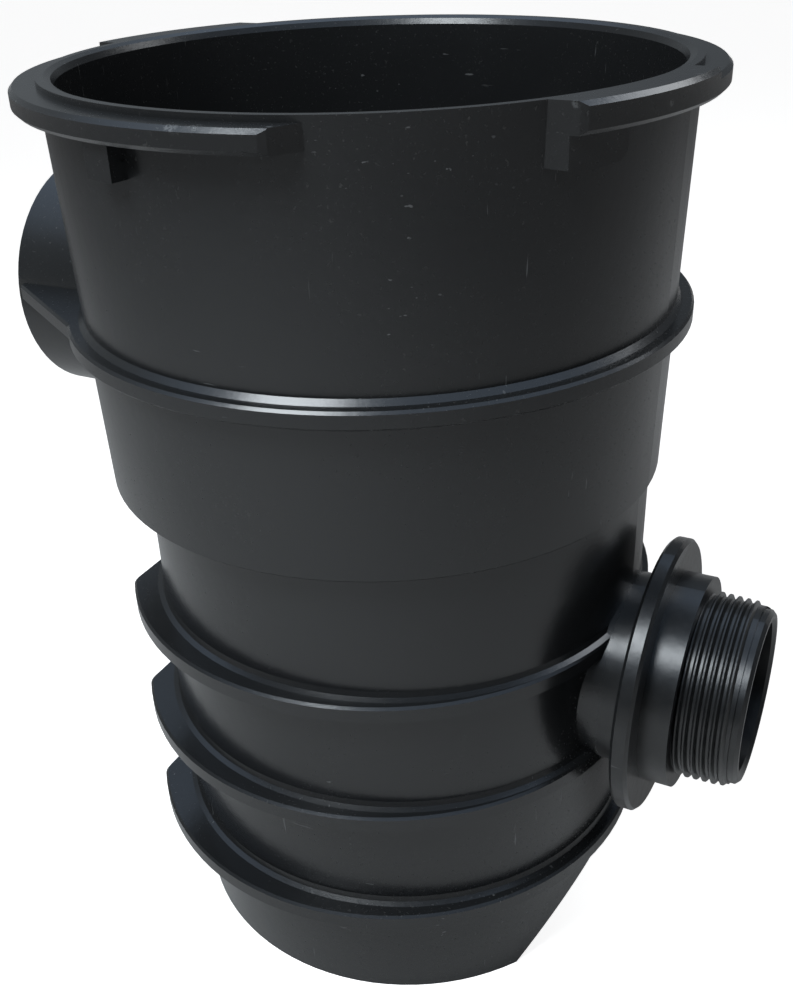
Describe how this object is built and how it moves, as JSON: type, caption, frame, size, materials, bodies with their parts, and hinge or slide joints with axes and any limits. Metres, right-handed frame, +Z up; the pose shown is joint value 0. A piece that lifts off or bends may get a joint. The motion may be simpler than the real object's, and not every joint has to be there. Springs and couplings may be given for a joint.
{
  "type": "pump strainer pot",
  "caption": "Black moulded strainer pot of a pool pump: wide open chamber over a narrow finned one, inlet boss high on one side, threaded outlet low on the other.",
  "frame": {"origin": "centre line of the wide chamber, in the plane of the flat base", "axes": "+Z up through the open mouth, +X out of the threaded outlet, -X out of the inlet"},
  "size_m": [0.1941, 0.1592, 0.2313],
  "materials": {
    "black_plastic": "satin, moulded"
  },
  "bodies": {
    "root": {"strainer_pot": "black_plastic"}
  },
  "joints": []
}
